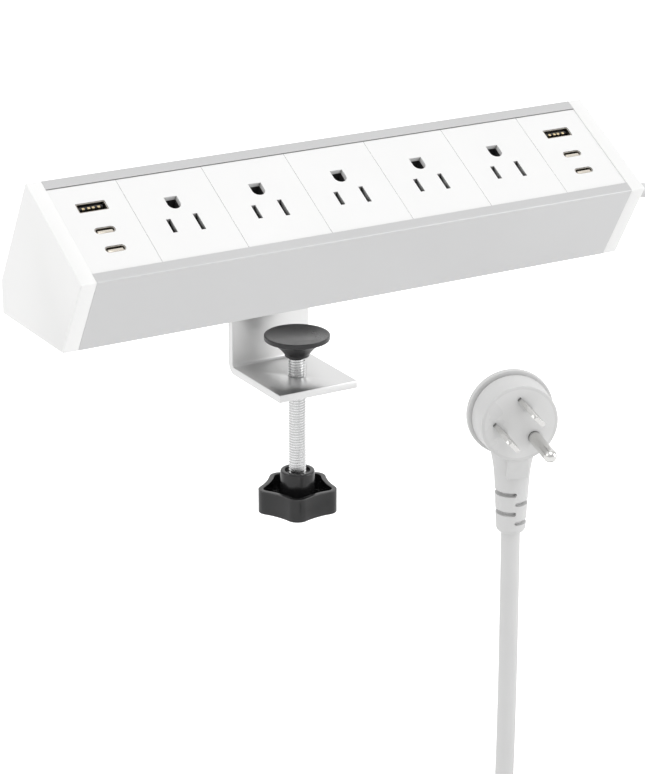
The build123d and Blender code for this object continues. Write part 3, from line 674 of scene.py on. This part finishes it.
def starKnob():
    size = knobSizes
    bm = bmesh.new()
    bmesh.ops.create_circle(bm, cap_ends=True, radius=size["startRadius"], segments=size["sides"])
    for v in bm.verts:
        reach = starRadius(atan2(v.co.y, v.co.x))
        v.co = v.co.normalized() * reach
    bmesh.ops.translate(bm, vec=(0, 0, size["low"]), verts=bm.verts)
    foot = bm.faces[:]
    bmesh.ops.inset_region(bm, faces=foot, thickness=size["footInset"], use_even_offset=True)
    raised = list({v for f in foot for v in f.verts})
    bmesh.ops.translate(bm, vec=(0, 0, size["footDeep"]), verts=raised)
    skin = bmesh.ops.extrude_edge_only(bm, edges=[e for e in bm.edges if e.is_boundary])
    rimEdges = [e for e in skin["geom"] if isinstance(e, bmesh.types.BMEdge)]
    rimVerts = [v for v in skin["geom"] if isinstance(v, bmesh.types.BMVert)]
    bmesh.ops.translate(bm, vec=(0, 0, size["height"]), verts=rimVerts)
    cap = bmesh.ops.edgeloop_fill(bm, edges=rimEdges)["faces"]
    bmesh.ops.inset_region(bm, faces=cap, thickness=size["wall"], use_even_offset=True)
    deeper = bmesh.ops.extrude_face_region(bm, geom=cap)["geom"]
    bmesh.ops.delete(bm, geom=cap, context="FACES_ONLY")
    sunk = [v for v in deeper if isinstance(v, bmesh.types.BMVert)]
    bmesh.ops.translate(bm, vec=(0, 0, size["floor"] - size["height"]), verts=sunk)
    bmesh.ops.recalc_face_normals(bm, faces=bm.faces)
    corners = []
    for edge in bm.edges:
        level = [v.co.z for v in edge.verts]
        if edge.is_manifold and abs(level[0] - level[1]) < 0.001 and edge.calc_face_angle(0) > radians(60):
            corners.append(edge)
    low = [e for e in corners if e.verts[0].co.z < size["low"] + 0.2]
    high = [e for e in corners if e.verts[0].co.z > size["low"] + size["height"] - 0.2]
    roundEdges(bm, low, size["footRound"], segments=5)
    roundEdges(bm, [e for e in high if e.is_valid], size["rimRound"], segments=3)
    hub = bmesh.new()
    base, top = size["low"] + size["floor"] - size["hubSunk"], size["hubTop"]
    profile = [
        (0, base), (size["hub"] + size["hubFlare"], base), (size["hub"], base + size["flareTall"]),
        (size["hub"], top), (size["bore"], top), (size["bore"], base + size["boreFloor"]),
        (0, base + size["boreFloor"]),
    ]
    lathe(hub, profile, steps=size["hubSteps"], rounds=size["hubRounds"])
    hubMesh = bpy.data.meshes.new("hub")
    hub.to_mesh(hubMesh)
    hub.free()
    bm.from_mesh(hubMesh)
    return finishBmesh(bm, "starKnob", sharp=30)


# tapered sleeves, slotted from side to side so that they bend: one on the plug, one at the case

sleeveSizes = {
    "slotTall": 1.75, "slotReach": 84, "core": 3.9, "past": 2.0, "slotSteps": 28, "endSides": 20, "steps": 72,
}


def slotCutters(heights, outside, core, firstSide):
    # part rings on alternate sides, with a round end at each end of each ring
    tall = sleeveSizes["slotTall"]
    rings, ends = bmesh.new(), bmesh.new()
    for index, height in enumerate(heights):
        side = firstSide if index % 2 == 0 else -firstSide
        reach = radians(sleeveSizes["slotReach"])
        corners = [(core, -tall / 2), (outside, -tall / 2), (outside, tall / 2), (core, tall / 2)]
        line = [rings.verts.new((side * r, 0, height + z)) for r, z in corners]
        face = rings.faces.new(line)
        bmesh.ops.rotate(rings, cent=(0, 0, 0), matrix=Matrix.Rotation(-reach, 3, "Z"), verts=line)
        bmesh.ops.spin(
            rings, geom=[face], cent=(0, 0, 0), axis=(0, 0, 1), angle=2 * reach,
            steps=sleeveSizes["slotSteps"],
        )
        for way in (-1, 1):
            angle = way * reach + (0 if side > 0 else pi)
            place = Matrix.Translation((0, 0, height)) @ Matrix.Rotation(angle, 4, "Z")
            place = place @ Matrix.Translation(((core + outside) / 2, 0, 0)) @ Matrix.Rotation(pi / 2, 4, "Y")
            bmesh.ops.create_cone(
                ends, cap_ends=True, segments=sleeveSizes["endSides"], radius1=tall / 2,
                radius2=tall / 2, depth=outside - core, matrix=place,
            )
    return rings, ends


def slottedSleeve(name, profile, rounds, heights, firstSide):
    bm = bmesh.new()
    lathe(bm, profile, steps=sleeveSizes["steps"], rounds=rounds, segments=5)
    body = finishBmesh(bm, name, scale=1.0)
    outside = max(r for r, z in profile) + sleeveSizes["past"]
    rings, ends = slotCutters(heights, outside, sleeveSizes["core"], firstSide)
    cutters = [finishBmesh(rings, "rings", scale=1.0), finishBmesh(ends, "ends", scale=1.0)]
    return combine(body, cutters, "DIFFERENCE")


reliefSizes = {
    "profile": [(0, -3.0), (5.2, -3.0), (5.2, 0.0), (6.4, 0.0), (6.4, 1.6), (5.9, 2.2), (4.7, 25.9),
                (3.5, 26.3), (0, 26.3)],
    "rounds": {3: 0.3, 4: 0.4, 6: 0.8},
    "slots": (7.6, 11.4, 15.2, 19.0),
}


def strainRelief():
    size = reliefSizes
    mesh = slottedSleeve("strainRelief", size["profile"], size["rounds"], size["slots"], 1)
    turn = Matrix.Translation(cordSizes["exit"]) @ Matrix.Rotation(pi / 2, 4, "Y")
    mesh.transform(Matrix.Scale(mm, 4) @ turn)
    return mesh


# plug: round head with a grip rim, neck, raised pad and slotted sleeve

plugPlace = Matrix((
    (0.95476, 0.0, -0.29737, -54.7),
    (-0.29737, 0.0, -0.95476, -256.4),
    (0.0, 1.0, 0.0, 25.4),
    (0, 0, 0, 1),
))

plugSizes = {
    "head": [(0, 0), (14.25, 0), (14.9, -10.4), (12.6, -10.6), (12.6, -11.6), (16.2, -11.6),
             (16.2, -14.2), (11.0, -14.9), (0, -15.1)],
    "headRounds": {1: 0.3, 2: 0.35, 5: 0.5, 6: 1.1, 7: 3.0}, "headSteps": 128,
    "neck": [(0, 6.0), (8.9, 6.0), (8.6, 11.0), (7.4, 16.0), (6.6, 21.5), (6.2, 27.0), (5.4, 43.3),
             (4.3, 44.5), (0, 44.5)],
    "neckRounds": {2: 2.0, 3: 4.0, 4: 3.0, 6: 0.5, 7: 0.3},
    "axisDepth": 8.0,
    "slots": (28.5, 32.3, 36.1, 39.9),
    "pad": ((-3.9, -21.4, -8.0), (3.9, -8.0, -0.35)), "padRound": 0.25,
    "flat": 0.9, "flatFrom": 20.0, "flatTo": 30.0,
    "pocket": (13.05, 7.0), "pocketSides": 96,
}


def plugGrip():
    size = plugSizes
    head = bmesh.new()
    lathe(head, size["head"], steps=size["headSteps"], rounds=size["headRounds"])
    pocket = bmesh.new()
    radius, deep = size["pocket"]
    bmesh.ops.create_cone(
        pocket, cap_ends=True, segments=size["pocketSides"], radius1=radius, radius2=radius, depth=2 * deep
    )
    neck = slottedSleeve("neck", size["neck"], size["neckRounds"], size["slots"], -1)
    along = Matrix.Translation((0, 0, -size["axisDepth"])) @ Matrix.Rotation(pi / 2, 4, "X")
    neck.transform(along)
    for v in neck.vertices:
        # the neck is a little flatter than it is wide, and round again at the sleeve
        share = size["flat"] + (1 - size["flat"]) * ease(-v.co.y, size["flatFrom"], size["flatTo"])
        v.co.z = (v.co.z + size["axisDepth"]) * share - size["axisDepth"]
    pad = bmesh.new()
    block(pad, *size["pad"])
    roundEdges(pad, pad.edges[:], size["padRound"], segments=2)
    headMesh = finishBmesh(head, "plugHead", scale=1.0)
    padMesh = finishBmesh(pad, "plugPad", scale=1.0)
    whole = combine(headMesh, [neck, padMesh], "UNION")
    whole = combine(whole, [finishBmesh(pocket, "pocket", scale=1.0)], "DIFFERENCE")
    whole.transform(Matrix.Scale(mm, 4) @ plugPlace)
    return whole


# strap round the coil

tieSizes = {"angle": 60.0, "wide": 12.0, "thick": 0.8, "gap": 0.1, "corner": 0.75, "steps": 6}


def coilStrap():
    size = tieSizes
    bm = bmesh.new()
    wide, outer = cordSizes["diameter"], cordSizes["outerTurn"]
    half = wide / 2 + size["gap"]
    floor = cordSizes["rest"] + cordSizes["tieLift"]
    low, high = floor - half, floor + wide * sin(radians(60)) + half
    inside, outside = outer - 2 * wide - half, outer + half
    # a rounded band across the bundle, bent to the coil and thickened
    band = [(inside, low), (outside, low), (outside, floor + half), (outer - wide / 2 + half, high),
            (outer - 1.5 * wide - half, high), (inside, floor + half)]
    line = [bm.verts.new((r, 0, z)) for r, z in band]
    for index, vert in enumerate(line):
        bm.edges.new((vert, line[(index + 1) % len(line)]))
    bmesh.ops.bevel(
        bm, geom=line, offset=half * size["corner"], offset_type="OFFSET", segments=6, profile=0.5,
        affect="VERTICES", clamp_overlap=True, material=-1,
    )
    share = size["wide"] / ((inside + outside) / 2)
    ring = bm.verts[:] + bm.edges[:]
    bmesh.ops.spin(bm, geom=ring, cent=(0, 0, 0), axis=(0, 0, 1), angle=share, steps=size["steps"])
    bmesh.ops.remove_doubles(bm, verts=bm.verts, dist=0.001)
    bmesh.ops.recalc_face_normals(bm, faces=bm.faces)
    bmesh.ops.solidify(bm, geom=bm.faces[:], thickness=size["thick"])
    middle = cordSizes["coilMiddle"]
    place = Matrix.Translation((middle[0], middle[1], 0)) @ Matrix.Rotation(radians(size["angle"]), 4, "Z")
    return finishBmesh(bm, "coilStrap", place=place, sharp=40)


def makeClampAndPlug():
    made = materials
    addPiece("clampScrew", threadedRod(), made["zincSteel"], "zinc_steel", "screw", "clamp_screw")
    addPiece("swivelPad", swivelPad(), made["blackPlastic"], "black_plastic", "pad", "pressure_pad")
    addPiece("starKnob", starKnob(), made["knobPlastic"], "black_plastic", "screw", "clamp_knob")
    addPiece("clampBracket", easedCopy("clamp_bracket", 0.3), made["brushedBracket"], "brushed_bracket",
             "strip", "clamp_bracket")
    addPiece("strainRelief", strainRelief(), made["cordWhite"], "cord_white", "strip", "cord_relief")
    addPiece("plugGrip", plugGrip(), made["cordWhite"], "cord_white", "strip", "plug_body")
    for node in ("line_blade", "neutral_blade"):
        addPiece(node + "Eased", easedCopy(node, 0.15), made["nickelBlades"], "nickel_blades", "strip", node)
    for hand in ("left", "right"):
        addPiece(hand + "CapEased", easedCopy(hand + "_end_cap", 0.25), made["whiteCaps"], "white_caps",
                 "strip", hand + "_end_cap")
    addPiece("coilStrap", coilStrap(), made["tieBlack"], "tie_black", "strip", "cord_tie")
    addPiece("feetEased", easedCopy("rubber_feet", 0.5, segments=3), made["rubber"], "rubber", "strip",
             "rubber_feet")


# ports: sleeves' insides as the sockets show them

portSizes = {
    "apex": (-19.0, 67.81), "tilt": 30, "middle": 115.3, "shift": -0.4, "wideDown": 18.1,
    "smallDowns": (31.7, 42.4), "foot": 13.6,
    "tongue": (11.0, 1.5), "tongueUp": 1.0, "tongueTop": 1.5, "tongueRound": 0.3,
    "contacts": (-3.5, -1.0, 1.0, 3.5), "contactWide": 1.2, "contactProud": 0.3, "contactTall": 0.75,
    "contactEnd": 0.12, "contactFoot": 12.6, "contactRound": 0.08,
    "smallTongue": (6.9, 1.5), "smallDown": 0.5, "smallTop": 0.7, "smallRound": 0.2,
}


def onFace(x, down):
    # place and turn of a spot on the slanted face: X along the strip, Y up the slope, Z outwards
    tilt = radians(portSizes["tilt"])
    y = portSizes["apex"][0] - down * cos(tilt)
    z = portSizes["apex"][1] - down * sin(tilt)
    return Matrix.Translation((x, y, z)) @ Matrix.Rotation(tilt, 4, "X")


def portInsides(side, hand):
    size = portSizes
    x = side * size["middle"] + size["shift"]
    spot = onFace(x, size["wideDown"])
    wide, thick = size["tongue"]
    up, foot, top = size["tongueUp"], -size["foot"], -size["tongueTop"]
    bm = bmesh.new()
    block(bm, (-wide / 2, up - thick / 2, foot), (wide / 2, up + thick / 2, top))
    end = [e for e in bm.edges if all(abs(v.co.z - top) < 0.01 for v in e.verts)]
    roundEdges(bm, end, size["tongueRound"], segments=2)
    addPiece("wideTongue_" + hand, finishBmesh(bm, "wideTongue", place=spot), materials["portTongue"],
             "port_tongue", "strip", "usb_a_tongue_" + hand)
    bm = bmesh.new()
    under = up - thick / 2
    half = size["contactWide"] / 2
    for shift in size["contacts"]:
        block(bm, (shift - half, under - size["contactProud"], -size["contactFoot"]),
              (shift + half, under + size["contactTall"], top + size["contactEnd"]))
    roundEdges(bm, bm.edges[:], size["contactRound"], segments=1)
    addPiece("portContacts_" + hand, finishBmesh(bm, "contacts", place=spot), materials["contactGold"],
             "brass", "strip")
    bm = bmesh.new()
    wide, thick = size["smallTongue"]
    middle = -size["smallDown"]
    for down in size["smallDowns"]:
        made = block(bm, (-wide / 2, middle - thick / 2, foot),
                     (wide / 2, middle + thick / 2, -size["smallTop"]))
        bmesh.ops.transform(bm, matrix=onFace(x, down), verts=made)
    roundEdges(bm, bm.edges[:], size["smallRound"], segments=2)
    addPiece("smallTongues_" + hand, finishBmesh(bm, "smallTongues"), materials["tongueMetal"],
             "port_tongue", "strip", "usb_c_tongues_" + hand)


makeClampAndPlug()
for side, hand in ((-1, "left"), (1, "right")):
    portInsides(side, hand)
print("clamp, plug and ports are modelled")

# floor


def makeFloor():
    bm = bmesh.new()
    half = studio["floorSize"] / 2
    bmesh.ops.create_grid(bm, x_segments=8, y_segments=8, size=half)
    bmesh.ops.translate(bm, vec=(0, 0, studio["floor"]), verts=bm.verts)
    bmesh.ops.scale(bm, vec=(mm, mm, mm), verts=bm.verts)
    mesh = bpy.data.meshes.new("floor")
    bm.to_mesh(mesh)
    bm.free()
    floor = bpy.data.objects.new("floor", mesh)
    scene.collection.objects.link(floor)
    paper = finish(
        "floorPaper", (0.93, 0.93, 0.93), (0.95, 0.95, 0.95), 0.9, scale=60.0, blotch=1.5, bump=0.02,
        Emission_Color=(1, 1, 1, 1), Specular_IOR_Level=0.1,
    )
    tree = paper.node_tree
    seen = addNode(tree, "ShaderNodeLightPath")
    glow = addNode(tree, "ShaderNodeMapRange")
    glow.inputs["To Min"].default_value = studio["floorGlow"]
    glow.inputs["To Max"].default_value = studio["floorGlow"] + studio["floorWhite"]
    tree.links.new(seen.outputs["Is Camera Ray"], glow.inputs["Value"])
    tree.links.new(glow.outputs["Result"], tree.nodes["Principled BSDF"].inputs["Emission Strength"])
    floor.data.materials.append(paper)


makeFloor()
cord = makeCord(materials["cordWhite"])
print("cord is laid")
